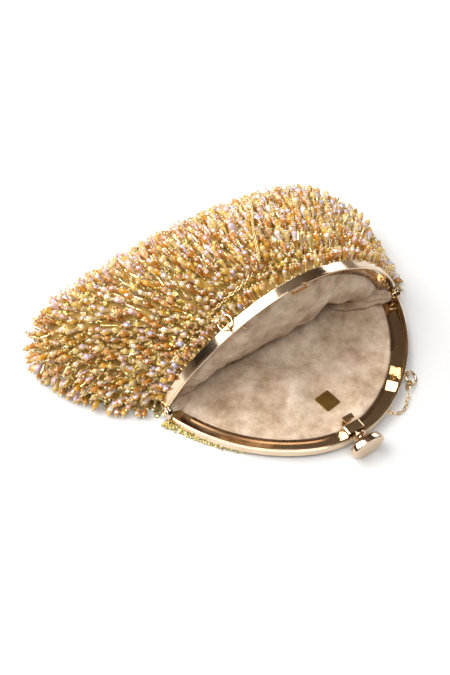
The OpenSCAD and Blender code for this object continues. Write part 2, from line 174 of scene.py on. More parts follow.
def to_front(points):
    """Turns points drawn on the back half, depth along -Y and thickness along -Z,
    onto the open front half."""
    x, y, z = np.moveaxis(np.asarray(points, float), -1, 0)
    z = -z
    c, s = math.cos(OPEN), math.sin(OPEN)
    return np.stack([x, y * c + z * s, -y * s + z * c], -1)


def metres(points):
    return (np.asarray(points, float) + HINGE) / 1000


def smooth_step(low, high, value):
    t = np.clip((np.asarray(value, float) - low) / (high - low), 0, 1)
    return t * t * (3 - 2 * t)


# --- Meshes ---

def add_object(name, mesh, material, body=None, smooth=True):
    """A visible piece, with the given material in its slot, hung on a body's empty where a body is
    given."""
    mesh.name = name
    piece = bpy.data.objects.new(name, mesh)
    bpy.context.scene.collection.objects.link(piece)
    mesh.materials.append(material)
    mesh.polygons.foreach_set("use_smooth", np.full(len(mesh.polygons), smooth))
    if body:
        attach(piece, body)
    return piece


def quads_mesh(points, faces):
    mesh = bpy.data.meshes.new("mesh")
    mesh.from_pydata([tuple(p) for p in metres(points)], [], faces)
    mesh.update()
    return mesh


def triangles_mesh(points, triangles, tints=None):
    """Mesh of triangles, with one tint a triangle where tints are given."""
    mesh = bpy.data.meshes.new("mesh")
    count = len(triangles)
    mesh.vertices.add(len(points))
    mesh.vertices.foreach_set("co", metres(points).astype(np.float32).ravel())
    mesh.loops.add(3 * count)
    mesh.loops.foreach_set("vertex_index", np.asarray(triangles, np.int32).ravel())
    mesh.polygons.add(count)
    mesh.polygons.foreach_set("loop_start", np.arange(0, 3 * count, 3, dtype=np.int32))
    mesh.update(calc_edges=True)
    if tints is not None:
        layer = mesh.color_attributes.new("tint", "FLOAT_COLOR", "CORNER")
        corner = np.ones((count, 3, 4), np.float32)
        corner[:, :, :3] = np.asarray(tints)[:, None, :]
        layer.data.foreach_set("color", corner.ravel())
    return mesh


def grid_faces(rows, cols, wrap=False):
    """Faces of a grid of rows by cols points. wrap closes each row on itself."""
    steps = cols if wrap else cols - 1
    return [(r * cols + c, r * cols + (c + 1) % cols, (r + 1) * cols + (c + 1) % cols,
             (r + 1) * cols + c) for r in range(rows - 1) for c in range(steps)]


def sheet_shell(grid, thick):
    """Closed thin shell over a grid of points, thickened along its normals."""
    rows, cols = grid.shape[:2]
    normal = unit(np.cross(np.gradient(grid, axis=1), np.gradient(grid, axis=0)))
    both = np.concatenate([grid.reshape(-1, 3), (grid + normal * thick).reshape(-1, 3)])
    shift = rows * cols
    top = grid_faces(rows, cols)
    faces = top + [tuple(i + shift for i in reversed(f)) for f in top]
    index = np.arange(shift).reshape(rows, cols)
    rim = np.concatenate([index[0], index[1:, -1], index[-1, -2::-1], index[-2:0:-1, 0]]).tolist()
    faces += [(b, a, a + shift, b + shift) for a, b in zip(rim, rim[1:] + rim[:1])]
    return quads_mesh(both, faces)


def swept(rings):
    """Solid swept through rings of points, with flat ends."""
    rings = np.asarray(rings, float)
    rows, cols = rings.shape[:2]
    ends = [tuple(range(cols - 1, -1, -1)), tuple((rows - 1) * cols + c for c in range(cols))]
    return quads_mesh(rings.reshape(-1, 3), grid_faces(rows, cols, wrap=True) + ends)


def tube(middle, side, up, reach, around):
    """Rings of points round a line, at a reach along side and up for each angle of around."""
    return (middle[:, None] + side[:, None] * (reach * np.cos(around))[..., None]
            + up[:, None] * (reach * np.sin(around))[..., None])


def rounded(outline, steps):
    """Outline with its corners rounded. Each corner is (u, v, radius)."""
    points = []
    for i, (u, v, radius) in enumerate(outline):
        here = np.array([u, v], float)
        to_last = unit(np.array(outline[i - 1][:2]) - here)
        to_next = unit(np.array(outline[(i + 1) % len(outline)][:2]) - here)
        half = math.acos(np.clip(to_last @ to_next, -1, 1)) / 2
        cut = radius / math.tan(half)
        middle = here + unit(to_last + to_next) * radius / math.sin(half)
        start, end = here + to_last * cut - middle, here + to_next * cut - middle
        turn = math.atan2(start[0] * end[1] - start[1] * end[0], start @ end)
        for k in range(steps + 1):
            c, s = math.cos(turn * k / steps), math.sin(turn * k / steps)
            points.append(middle + [start[0] * c - start[1] * s, start[0] * s + start[1] * c])
    return np.array(points)


def lathe(profile, centre, axis, sides=48):
    """Solid of revolution. profile is (distance along the axis, radius) from end to end."""
    axis = np.asarray(axis, float)
    side, other = axes_across(axis, [0.31, 0.17, 0.93])
    turn = circle(sides)
    spoke = np.outer(np.cos(turn), side) + np.outer(np.sin(turn), other)
    return swept([np.asarray(centre) + axis * a + spoke * r for a, r in profile])


def weighted(piece):
    """Keeps wide faces flat beside their rounded edges."""
    piece.modifiers.new("weighted", "WEIGHTED_NORMAL").keep_sharp = True
    return piece


def cut_or_join(piece, tools):
    """Applies (operation, tool mesh) pairs to a piece with exact booleans."""
    crease = math.radians(35)
    for operation, tool_mesh in tools:
        tool_mesh.materials.append(piece.data.materials[0])
        tool = bpy.data.objects.new("tool", tool_mesh)
        bpy.context.scene.collection.objects.link(tool)
        modifier = piece.modifiers.new("tool", "BOOLEAN")
        modifier.operation = operation
        modifier.solver = "EXACT"
        modifier.object = tool
        bpy.context.view_layer.update()
        depsgraph = bpy.context.evaluated_depsgraph_get()
        mesh = bpy.data.meshes.new_from_object(piece.evaluated_get(depsgraph))
        piece.modifiers.clear()
        piece.data = mesh
        bpy.data.objects.remove(tool)
    mesh.polygons.foreach_set("use_smooth", np.ones(len(mesh.polygons), bool))
    mesh.set_sharp_from_angle(angle=crease)


# --- Materials ---

def new_material(name, **sockets):
    material = bpy.data.materials.new(name)
    material.use_nodes = True
    shader = material.node_tree.nodes["Principled BSDF"]
    for socket, value in sockets.items():
        shader.inputs[socket.replace("_", " ")].default_value = value
    return material, material.node_tree, shader


def feed(tree, socket, value):
    """Gives an input an output of another node, a colour or a plain value."""
    if isinstance(value, bpy.types.NodeSocket):
        tree.links.new(value, socket)
    else:
        socket.default_value = (*value, 1) if isinstance(value, tuple) else value


def add_node(tree, kind, **values):
    node = tree.nodes.new(kind)
    for key, value in values.items():
        socket = node.inputs.get(key.replace("_", " "))
        if socket is not None:
            feed(tree, socket, value)
        else:
            setattr(node, key, value)
    return node


def position(tree):
    """Place on the object in metres."""
    return add_node(tree, "ShaderNodeTexCoord").outputs["Object"]


def noise_at(tree, scale, detail=3.0, rough=0.55):
    node = add_node(tree, "ShaderNodeTexNoise", Scale=scale, Detail=detail, Roughness=rough,
                    Vector=position(tree))
    return node.outputs["Fac"]


def ramp(tree, source, stops):
    """Colour ramp. stops are (place, colour)."""
    node = add_node(tree, "ShaderNodeValToRGB", Fac=source)
    elements = node.color_ramp.elements
    while len(elements) < len(stops):
        elements.new(0.5)
    for element, (place, colour) in zip(elements, stops):
        element.position = place
        element.color = (*colour, 1)
    return node.outputs["Color"]


def mixed(tree, factor, a, b, blend="MIX"):
    """Mix of two colours."""
    node = add_node(tree, "ShaderNodeMix", data_type="RGBA", blend_type=blend)
    for place, value in ((0, factor), (6, a), (7, b)):
        feed(tree, node.inputs[place], value)
    return node.outputs[2]


def to_range(tree, source, low, high, from_low=0.0, from_high=1.0):
    node = add_node(tree, "ShaderNodeMapRange", Value=source, From_Min=from_low,
                    From_Max=from_high, To_Min=low, To_Max=high)
    return node.outputs["Result"]


def combined(tree, operation, a, b):
    """Result of a sum or the like of two outputs."""
    node = add_node(tree, "ShaderNodeMath", operation=operation)
    feed(tree, node.inputs[0], a)
    feed(tree, node.inputs[1], b)
    return node.outputs[0]


def add_bump(tree, shader, height, strength, distance):
    node = add_node(tree, "ShaderNodeBump", Strength=strength, Distance=distance, Height=height)
    tree.links.new(node.outputs["Normal"], shader.inputs["Normal"])


def metal(name, colour, shade, rough=0.12, wave=0.03):
    """Polished plating: a slight drift of colour, soft smears in the polish and fine scratches."""
    material, tree, shader = new_material(name, Metallic=1.0, IOR=1.45)
    drift = noise_at(tree, 60, 4)
    colour_out = mixed(tree, to_range(tree, drift, 0, 0.55, 0.42, 0.75), colour, shade)
    tree.links.new(colour_out, shader.inputs["Base Color"])
    smear = noise_at(tree, 240, 6, 0.7)
    tree.links.new(to_range(tree, smear, rough * 0.7, rough * 1.6), shader.inputs["Roughness"])
    add_bump(tree, shader, noise_at(tree, 110, 1), wave, 0.002)
    return material


def suede(name, stops, sheen):
    """Brushed suede-like cloth: blotches where the nap lies another way, and fine fibres."""
    material, tree, shader = new_material(
        name, Roughness=0.95, Sheen_Weight=sheen, Sheen_Roughness=0.45,
        Sheen_Tint=(1.0, 0.93, 0.85, 1))
    shader.inputs["Specular IOR Level"].default_value = 0.12
    blotch = noise_at(tree, 75, 5, 0.62)
    colour = ramp(tree, blotch, stops)
    fine = ramp(tree, noise_at(tree, 900, 3, 0.7), [(0.3, (0.72, 0.71, 0.70)), (0.7, (1, 1, 1))])
    tree.links.new(mixed(tree, 0.75, colour, fine, "MULTIPLY"), shader.inputs["Base Color"])
    fibres = combined(tree, "ADD", noise_at(tree, 1500, 4, 0.8), noise_at(tree, 170, 3))
    add_bump(tree, shader, fibres, 0.55, 0.0006)
    return material


def woven(name, dark, light):
    """Ground cloth of metallic thread: crossed waves for warp and weft."""
    material, tree, shader = new_material(name, Roughness=0.5, Metallic=0.35,
                                          Sheen_Weight=0.2, Sheen_Roughness=0.4)
    threads = [add_node(tree, "ShaderNodeTexWave", Scale=520.0, bands_direction=direction,
                        Vector=position(tree)).outputs["Fac"] for direction in ("X", "Y")]
    weave = combined(tree, "MAXIMUM", *threads)
    patch = mixed(tree, noise_at(tree, 45, 3), dark, light)
    tint = mixed(tree, weave, (0.45, 0.42, 0.35), (1, 1, 1))
    tree.links.new(mixed(tree, 1.0, patch, tint, "MULTIPLY"), shader.inputs["Base Color"])
    add_bump(tree, shader, weave, 0.6, 0.0004)
    return material


def tinted(name, **sockets):
    """Material whose colour comes from each bead's tint attribute, which on the drops also carries
    painted highlights and glints.
    """
    material, tree, shader = new_material(name, **sockets)
    tint = add_node(tree, "ShaderNodeAttribute", attribute_name="tint")
    cloudy = to_range(tree, noise_at(tree, 420, 2), 0.78, 1.12, 0.35, 0.65)
    node = add_node(tree, "ShaderNodeVectorMath", operation="SCALE",
                    Vector=tint.outputs["Color"], Scale=cloudy)
    tree.links.new(node.outputs["Vector"], shader.inputs["Base Color"])
    return material


gold = metal("frame_gold", (0.80, 0.64, 0.46), (0.62, 0.45, 0.28), rough=0.10)
hardware_gold = metal("hardware_gold", (0.80, 0.62, 0.40), (0.58, 0.40, 0.22), rough=0.14)
chain_gold = metal("chain_gold", (0.94, 0.70, 0.36), (0.74, 0.48, 0.20), rough=0.16, wave=0.08)
plate_brass = metal("plate_brass", (0.42, 0.29, 0.09), (0.16, 0.10, 0.03), rough=0.26, wave=0.3)
channel = metal("channel_brown", (0.30, 0.19, 0.11), (0.16, 0.09, 0.05), rough=0.25)
steel = metal("spring_steel", (0.60, 0.60, 0.60), (0.40, 0.40, 0.40), rough=0.25)
lining_cloth = suede("lining", [(0.32, (0.42, 0.28, 0.18)), (0.47, (0.63, 0.47, 0.33)),
                                (0.66, (0.86, 0.70, 0.54))], 0.25)
padding_cloth = suede("padding", [(0.3, (0.75, 0.70, 0.60)), (0.7, (0.88, 0.85, 0.78))], 0.1)
ground_cloth = woven("gold_fabric", (0.42, 0.22, 0.03), (0.72, 0.48, 0.12))
glass = tinted("beads", Roughness=0.07, IOR=1.56, Transmission_Weight=0.25, Coat_Weight=0.6,
               Coat_Roughness=0.03)
bugle_gold = tinted("bugles", Roughness=0.2, Metallic=0.85, Coat_Weight=0.4, Coat_Roughness=0.05)
seed_glass = tinted("seed_beads", Roughness=0.16, Metallic=0.55, Coat_Weight=0.5,
                    Coat_Roughness=0.05)
sequin_film = tinted("sequins", Roughness=0.17, Metallic=0.7, Coat_Weight=0.5,
                     Coat_Roughness=0.06)


# --- Camera, light and floor ---

LENS = 54.78
CAMERA_AT = [-251.6, -318.0, 519.9]
CAMERA_TARGET = [-39.0, 11.7, 27.0]
LIGHT_TARGET = (0, 0, 0.03)
# Name, place in metres, size in metres and power in watts
SOFTBOXES = (("left_softbox", (-0.64, 0.42, 1.16), (1.2, 1.2), 27),
             ("front_softbox", (-0.28, -0.60, 1.26), (0.9, 0.55), 11),
             ("right_softbox", (1.15, 0.42, 0.52), (0.6, 0.55), 3.2),
             ("back_softbox", (0.15, 1.5, 0.75), (1.4, 0.5), 10))
FLOOR_REACH = 4.0
FLOOR_GREY = 0.72
SKY = [(0.0, (0.36, 0.30, 0.24)), (0.2, (0.035, 0.025, 0.018)), (0.55, (0.03, 0.022, 0.016)),
       (0.8, (0.13, 0.09, 0.06)), (1.0, (0.30, 0.27, 0.23))]
SKY_STRENGTH = 0.9


def aimed(name, data, place, target):
    """Camera or light at a place, turned to its target."""
    obj = bpy.data.objects.new(name, data)
    bpy.context.scene.collection.objects.link(obj)
    obj.location = place
    obj.rotation_euler = (Vector(target) - Vector(place)).to_track_quat("-Z", "Y").to_euler()
    return obj


def make_camera():
    data = bpy.data.cameras.new("camera")
    data.lens = LENS
    data.sensor_width = 36
    bpy.context.scene.camera = aimed("camera", data, metres(CAMERA_AT), metres(CAMERA_TARGET))


def make_studio():
    material, _, shader = new_material("floor", Roughness=0.9, Specular_IOR_Level=0.1)
    shader.inputs["Base Color"].default_value = (FLOOR_GREY, FLOOR_GREY, FLOOR_GREY, 1)
    mesh = bpy.data.meshes.new("floor")
    reach = FLOOR_REACH
    mesh.from_pydata([(-reach, -reach, 0), (reach, -reach, 0), (reach, reach, 0),
                      (-reach, reach, 0)], [], [(0, 1, 2, 3)])
    mesh.materials.append(material)
    floor = bpy.data.objects.new("floor", mesh)
    bpy.context.scene.collection.objects.link(floor)

    for name, place, size, power in SOFTBOXES:
        data = bpy.data.lights.new(name, "AREA")
        data.shape = "RECTANGLE"
        data.size, data.size_y = size
        data.energy = power
        aimed(name, data, place, LIGHT_TARGET)

    world = bpy.data.worlds.new("studio")
    bpy.context.scene.world = world
    world.use_nodes = True
    tree = world.node_tree
    direction = add_node(tree, "ShaderNodeTexCoord").outputs["Generated"]
    split = add_node(tree, "ShaderNodeSeparateXYZ", Vector=direction)
    tree.links.new(ramp(tree, split.outputs["Z"], SKY), tree.nodes["Background"].inputs["Color"])
    tree.nodes["Background"].inputs["Strength"].default_value = SKY_STRENGTH
    bpy.context.scene.view_settings.view_transform = "Standard"


# --- Chain ---

# The chain's route in metres, from the right ring behind the bag to the left ring
CHAIN_ROUTE = np.array([
    [66, -77.5, 3.4], [62, -81, 1.8], [57, -84.5, 1.35], [50.5, -84, 1.35],
    [48, -78, 1.35], [52, -72.5, 1.35], [61, -67, 1.35], [70, -60, 1.35],
    [79, -51.5, 1.35], [88, -40.5, 1.35], [96, -28, 1.35], [103, -18, 1.35],
    [111, -11, 1.35], [117.5, -4.5, 1.35], [121.5, 6, 1.35], [125.5, 20, 1.35],
    [127.5, 36, 1.35], [126, 50, 1.35], [119, 66, 1.35], [110, 80, 1.35],
    [97, 90, 1.35], [80, 95.5, 1.35], [66, 98, 1.6], [58.5, 100.3, 5],
    [55, 101, 14], [53, 98, 29], [51, 90, 43], [46, 75, 58], [34, 54, 72],
    [21, 34.5, 82], [10, 14, 88], [5, 4.5, 88], [-4, -1, 85.4], [-13, -2.8, 82],
    [-22, -3, 78], [-30, -3, 73], [-36, -3.2, 67.7]]) / 1000
LINK_L, LINK_W, LINK_WIRE = 3.3, 2.2, 0.36


def link_rings(bends=8, sides=8):
    """Rings of a stadium-shaped link, long way along X."""
    bend = LINK_W / 2 - LINK_WIRE
    run = LINK_L / 2 - LINK_W / 2
    turn = np.linspace(-math.pi / 2, math.pi / 2, bends)
    right = np.stack([run + bend * np.cos(turn), bend * np.sin(turn)], -1)
    loop = np.concatenate([right, -right])
    heading = unit(np.roll(loop, -1, 0) - np.roll(loop, 1, 0))
    out = np.stack([heading[:, 1], -heading[:, 0], np.zeros(len(loop))], -1)
    around = circle(sides)
    up = np.broadcast_to([0, 0, 1.0], out.shape)
    return tube(np.pad(loop, ((0, 0), (0, 1))), out, up, LINK_WIRE, around)


def triangles_of(quads):
    quads = np.asarray(quads)
    return np.concatenate([quads[:, [0, 1, 2]], quads[:, [0, 2, 3]]])


def closed_faces(rows, cols):
    quads = grid_faces(rows, cols, wrap=True)
    last = (rows - 1) * cols
    quads += [(last + c, last + (c + 1) % cols, (c + 1) % cols, c) for c in range(cols)]
    return triangles_of(quads)


def many(base, triangles, frames, origins, scales=1.0):
    """Copies of a small mesh. frames are (n, 3, 3) with the axes as rows."""
    scales = np.broadcast_to(scales, len(origins))
    points = np.einsum("vk,nkd->nvd", base, frames) * scales[:, None, None] + origins[:, None]
    shift = (np.arange(len(origins)) * len(base))[:, None, None]
    return points.reshape(-1, 3), (triangles[None] + shift).reshape(-1, 3)


def make_chain():
    path = along(CHAIN_ROUTE, np.linspace(0, 1, 1400))
    travel = run_along(path)
    length = travel[-1]
    pitch = (LINK_L - 2.25 * LINK_WIRE) / 1000
    count = int(round(length / pitch))
    places = (np.arange(count) + 0.5) * length / count

    def at(distance):
        return np.stack([np.interp(distance, travel, path[:, k]) for k in range(3)], -1)

    heading = unit(at(np.minimum(places + pitch / 2, length))
                   - at(np.maximum(places - pitch / 2, 0)))
    lean = np.where(np.arange(count) % 2, math.pi / 4, -math.pi / 4) + rng.normal(0, 0.12, count)
    frames = np.stack([heading, *axes_across(heading, [0.13, 0.21, 0.97], lean)], 1)
    rings = link_rings()
    points, triangles = many(rings.reshape(-1, 3), closed_faces(*rings.shape[:2]), frames,
                             at(places) * 1000 - HINGE)
    chain = add_object("chain_strap_links", triangles_mesh(points, triangles), chain_gold)
    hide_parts("chain_strap")
    return chain


# --- Frame ---

def frame_profile():
    """Section of one half: wall with a rolled rim and a scored line, and the flange."""
    groove = 1.25
    return rounded([
        (0, -RIM_GAP, 0.45), (WALL_T, -RIM_GAP, 0.45), (WALL_T, -WALL_H + FLANGE_T, 0.5),
        (FLANGE_W, -WALL_H + FLANGE_T, 0.4), (FLANGE_W, -WALL_H, 0.4), (0, -WALL_H, 0.9),
        (0, -groove - 0.25, 0.08), (0.28, -groove - 0.12, 0.05), (0.28, -groove + 0.05, 0.05),
        (0, -groove + 0.15, 0.08)], 3)


def ear_disc(x, radius=EAR_R, thick=EAR_T, soft=0.35):
    half, step = thick / 2, 0.1
    profile = [(-half, radius - soft), (-half + step, radius - step), (-half + soft, radius),
               (half - soft, radius), (half - step, radius - step), (half, radius - soft)]
    return lathe(profile, (x, 0, 0), (1, 0, 0), 40)


def make_frame_half(name, node, body, front):
    profile = frame_profile()
    rings = []
    for share in np.linspace(-1, 1, 141):
        x = arch_x(share, profile[:, 0])
        rings.append(np.stack([x, -arch_depth(x, profile[:, 0]), profile[:, 1]], -1))
    piece = add_object(name, swept(rings), gold, body)
    ear_in = EAR_T + EAR_GAP if front else 0
    other_in = 0 if front else EAR_T + EAR_GAP
    tools = []
    for side in (-1, 1):
        slot_x = side * (HALF_W - other_in - EAR_T / 2)
        tools.append(("DIFFERENCE", ear_disc(slot_x, EAR_R + 0.5, EAR_T + 2 * EAR_GAP, 0.05)))
        tools.append(("UNION", ear_disc(side * (HALF_W - ear_in - EAR_T / 2))))
    notch_r = SHAFT_R + 0.4
    notch_z = BUTTON_DROP if front else -BUTTON_DROP
    tools.append(("DIFFERENCE", lathe([(-6, notch_r), (6, notch_r)],
                                      (0, -FRAME_DEPTH + 1, notch_z), (0, 1, 0), 32)))
    cut_or_join(piece, tools)
    if front:
        mesh = piece.data
        places = np.zeros(len(mesh.vertices) * 3)
        mesh.vertices.foreach_get("co", places)
        local = places.reshape(-1, 3) * 1000 - HINGE
        mesh.vertices.foreach_set("co", metres(to_front(local)).ravel())
        mesh.flip_normals()
        mesh.update()
    weighted(piece)
    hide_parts(node)


def make_rivets():
    """Domed rivets with a washer line, one at each end of the hinge."""
    dome = [(-4.4, 1.0), (-4.4, 2.1), (-4.1, 2.3), (-3.75, 2.3), (-3.7, 1.3), (-0.02, 1.3),
            (0.0, 2.3), (0.25, 2.25), (0.55, 1.95), (0.8, 1.4), (0.92, 0.7), (0.95, 0.15)]
    for side, label in ((-1, "left"), (1, "right")):
        mesh = lathe(dome, (side * HALF_W, 0, 0), (side, 0, 0), 36)
        piece = weighted(add_object(f"hinge_rivet_{label}", mesh, gold, "root"))
        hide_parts("hinge_rivets")


def oval_outline(width, height, count=72):
    """Oval of two end arcs and two long arcs, as a closed loop of points."""
    end_r = height * 0.42
    end_c = width / 2 - end_r
    long_r = (end_c ** 2 + height ** 2 / 4 - end_r ** 2) / (height - 2 * end_r)
    drop = long_r - height / 2
    tangent = math.atan2(drop * end_r, end_c * long_r)
    turn = circle(count)
    u, v = np.abs(np.cos(turn)), np.abs(np.sin(turn))
    on_end = u * end_c + np.sqrt(np.maximum(end_r ** 2 - (v * end_c) ** 2, 0))
    on_long = -v * drop + np.sqrt(long_r ** 2 - (u * drop) ** 2)
    reach = np.where(np.arctan2(v, u) < tangent, on_end, on_long)
    return np.stack([reach * np.cos(turn), reach * np.sin(turn)], -1)


def make_clasp():
    """Push button: pillowed oval face inside a rolled rim, with its shaft and collar."""
    outline = oval_outline(BUTTON_W, BUTTON_H)
    back = FRAME_DEPTH + BUTTON_GAP
    front = back + BUTTON_T
    # Share of the outline and distance from the hinge, from the button's back to its face
    layers = [(0.3, back), (0.55, back), (0.80, back), (0.87, back + 0.1), (0.93, back + 0.45),
              (0.965, back + 1.1), (0.985, back + 2.0), (0.995, back + 3.0), (1.0, front - 1.2),
              (0.995, front - 0.75), (0.975, front - 0.38), (0.945, front - 0.2),
              (0.90, front - 0.12), (0.80, front - 0.07), (0.62, front - 0.03),
              (0.40, front - 0.01), (0.18, front)]
    rings = [np.stack([outline[:, 0] * k, np.full(len(outline), -y),
                       outline[:, 1] * k - BUTTON_DROP], -1) for k, y in layers]
    head = weighted(add_object("clasp_button_head", swept(rings), gold, "button"))
    start = back + 1
    collar_at, end_at = start - 73.2, start - 63.3
    shaft = [(0, SHAFT_R), (collar_at, SHAFT_R), (collar_at + 0.05, 2.3), (collar_at + 0.2, 2.5),
             (collar_at + 0.65, 2.5), (collar_at + 0.8, 2.3), (collar_at + 0.85, SHAFT_R),
             (end_at, SHAFT_R), (end_at + 0.1, 1.2)]
    rod = weighted(add_object("clasp_button_shaft",
                              lathe(shaft, (0, -start, -BUTTON_DROP), (0, 1, 0)),
                              hardware_gold, "button"))
    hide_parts("clasp_button")
    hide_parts("clasp_button")

    bezel = [(0, 1.8), (0, 2.9), (0.2, 3.2), (0.7, 3.3), (0.85, 2.9), (1.05, 2.9), (1.2, 3.6),
             (1.95, 4.1), (2.05, 4.5), (2.25, 4.65), (2.95, 4.65), (3.2, 4.4), (3.2, 1.8)]
    bezel_at = (0, -FRAME_DEPTH - 3.4, -BUTTON_DROP)
    collar = weighted(add_object("clasp_bezel_turned", lathe(bezel, bezel_at, (0, 1, 0)), gold,
                                 "root"))
    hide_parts("clasp_bezel")


def make_spring():
    """Coil spring round the shaft, in the housing's pocket."""
    turns, length, radius, wire, start = 3.5, 2.9, 2.05, 0.3, -72.3
    share = np.linspace(0, 1, 90)
    angle = 2 * math.pi * turns * share
    middle = np.stack([radius * np.cos(angle), start + length * share,
                       radius * np.sin(angle) - BUTTON_DROP], -1)
    side, other = axes_across(unit(np.gradient(middle, axis=0)), [0, 1.0, 0])
    around = circle(10)
    spring = add_object("button_spring_coil", swept(tube(middle, side, other, wire, around)),
                        steel)
    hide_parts("button_spring")
    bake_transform(spring)


def make_housing():
    """Soft-edged block that holds the button's shaft and spring."""
    half, low, top, soft = 6.5, -(WALL_H - FLANGE_T), 2.3, 1.9
    turn = np.linspace(0, math.pi / 2, 7)
    right = np.stack([half - soft + soft * np.sin(turn), top - soft + soft * np.cos(turn)], -1)
    outline = np.vstack([right, [[half, low], [-half, low]], right[::-1] * [-1, 1]])
    front_y, back_y = -(FRAME_DEPTH - 2), -(FRAME_DEPTH - 8.4)
    rings = []
    for shrink, y in ((0.6, front_y), (0.18, front_y + 0.18), (0, front_y + 0.6),
                      (0, back_y - 0.6), (0.18, back_y - 0.18), (0.6, back_y)):
        ring = outline - np.sign(outline) * shrink * (outline != low)
        rings.append(np.stack([ring[:, 0], np.full(len(ring), y), ring[:, 1]], -1))
    housing = add_object("latch_housing_cast", swept(rings), hardware_gold, "root")
    bore_r, pocket_r = SHAFT_R + 0.06, 2.7
    bores = [lathe([(0, r), (deep, r)], (0, front_y - 1, -BUTTON_DROP), (0, 1, 0), 32)
             for r, deep in ((bore_r, 9), (pocket_r, 6))]
    cut_or_join(housing, [("DIFFERENCE", bore) for bore in bores])
    weighted(housing)
    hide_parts("latch_housing")


# --- Cloth ---

def fractal(points, size, seed, octaves=3):
    """Smooth noise from -1 to 1 at points in millimetres."""
    flat = np.asarray(points, float).reshape(-1, 3) / size + seed * 17.3
    values = np.array([noise.fractal(Vector(p), 1.0, 2.0, octaves) for p in flat])
    return np.clip(values, -1, 1).reshape(np.asarray(points).shape[:-1])


def front_edge(s, inset, thick):
    """Points on the open front half, at an inset from its arch and a distance from its plane."""
    x = -half_foot(inset) * np.cos(math.pi * np.asarray(s, float))
    return to_front(np.stack([x, -arch_depth(x, inset), np.full_like(x, -thick)], -1))


def make_front_fabric():
    """Ground cloth from the back of the front half's flange over the pouch to the floor."""
    s = np.linspace(0.0, 1.0, 121)
    rows = [front_edge(s, 3.5, WALL_H + 0.1), front_edge(s, 8.0, WALL_H + 0.9)]
    rows += [pouch(s, t, FABRIC_IN, FABRIC_LOW) for t in np.linspace(0.006, 1, 52)]
    grid = np.array(rows)
    grid[3:] += 0.5 * fractal(grid[3:], 22, 1)[..., None] * np.array([0.3, 0.3, 1.0])
    piece = add_object("front_ground_cloth", sheet_shell(grid, -FABRIC_T), ground_cloth)
    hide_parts("front_fabric", "front_fabric_band")
    return piece


def make_padding():
    s = np.linspace(0.012, 0.988, 81)
    turns = np.linspace(0.02, 0.97, 40)
    grid = np.array([pouch(s, t, PADDING_IN + 0.2, PADDING_LOW) for t in turns])
    piece = add_object("front_padding_felt", sheet_shell(grid, -PADDING_T), padding_cloth)
    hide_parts("front_padding")
    return piece


def curtain_low(x):
    """Height of the sagging lining's lower edge across the mouth."""
    middle = 9 + 9 * np.exp(-((x - 36) / 12) ** 2) - 2.5 * np.exp(-((x + 58) / 12) ** 2)
    return middle - 15 * smooth_step(52, 84, x) - 13 * smooth_step(58, 84, -x)


def make_front_lining():
    """Lining glued inside the front half. It hangs like a curtain, then runs in under the
    front panel to the foot of the pouch."""
    s = np.linspace(0.0, 1.0, 161)
    start = front_edge(s, FLANGE_W + 0.1, WALL_H - FLANGE_T + 0.3)
    x, top = start[:, 0], start[:, 2]
    low = np.maximum(np.minimum(curtain_low(x), top - 0.5), FLOOR + 5.5)
    rows = []
    for t in np.linspace(0, 1, 26):
        bulge = 5.0 * math.sin(math.pi * t) * smooth_step(0, 40, top)
        depth = start[:, 1] * (1 - t) + 5.0 * t - bulge * (1 - 0.35 * t)
        rows.append(np.stack([x * (1 - 0.05 * t), depth, top + (low - top) * t], -1))
    hem = rows[-1]
    for t in np.linspace(0.02, 0.97, 34):
        point = pouch(s, t, LINING_IN + 0.3, LINING_LOW)
        sink = smooth_step(0, 0.5, t)
        roof = low + 1.0 + 5 * np.sin(math.pi * np.clip(t / 0.75, 0, 1)) * (1 - 0.4 * sink)
        point[:, 2] = np.minimum(point[:, 2], roof)
        join = smooth_step(0.0, 0.10, t)
        back = hem + np.array([0, 3.0, 0.5]) * min(t / 0.05, 1)
        rows.append(back * (1 - join) + point * join)
    grid = np.array(rows)
    share = np.linspace(0, 1, len(rows))[:, None] * np.ones(len(s))
    keep = smooth_step(0.0, 0.06, share) * smooth_step(0, 0.04, 1 - share)
    folds = fractal(grid * np.array([1.0, 0.6, 0.35]), 14, 3) * 2.2
    folds += fractal(grid, 6, 4, 2) * 0.5
    grid[..., 1] += folds * keep
    grid[..., 2] += 0.6 * fractal(grid, 16, 5) * keep
    grid[..., 2] = np.maximum(grid[..., 2], FLOOR + LINING_LOW + 0.3)
    piece = add_object("front_lining_cloth", sheet_shell(grid, LINING_T), lining_cloth)
    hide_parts("front_lining", "front_lining_band")
    return piece


def back_grid(columns, inset, rows_in, rows_out, foot_turn, foot_inset):
    """Flat grid over the bag's back, from the arch to the hinge line and on to the foot."""
    u = np.linspace(-1, 1, columns)
    x = arch_x(u, inset)
    near = -arch_depth(x, inset)
    flat = np.zeros(columns)
    s = np.arccos(np.clip(-np.sin(np.pi / 2 * u), -1, 1)) / math.pi
    foot = pouch(s, foot_turn, foot_inset)
    rows = [np.stack([x, near * (1 - t), flat], -1) for t in np.linspace(0, 1, rows_in)]
    rows += [np.stack([x + (foot[:, 0] - x) * t, foot[:, 1] * t, flat], -1)
             for t in np.linspace(0, 1, rows_out + 1)[1:]]
    return np.array(rows)


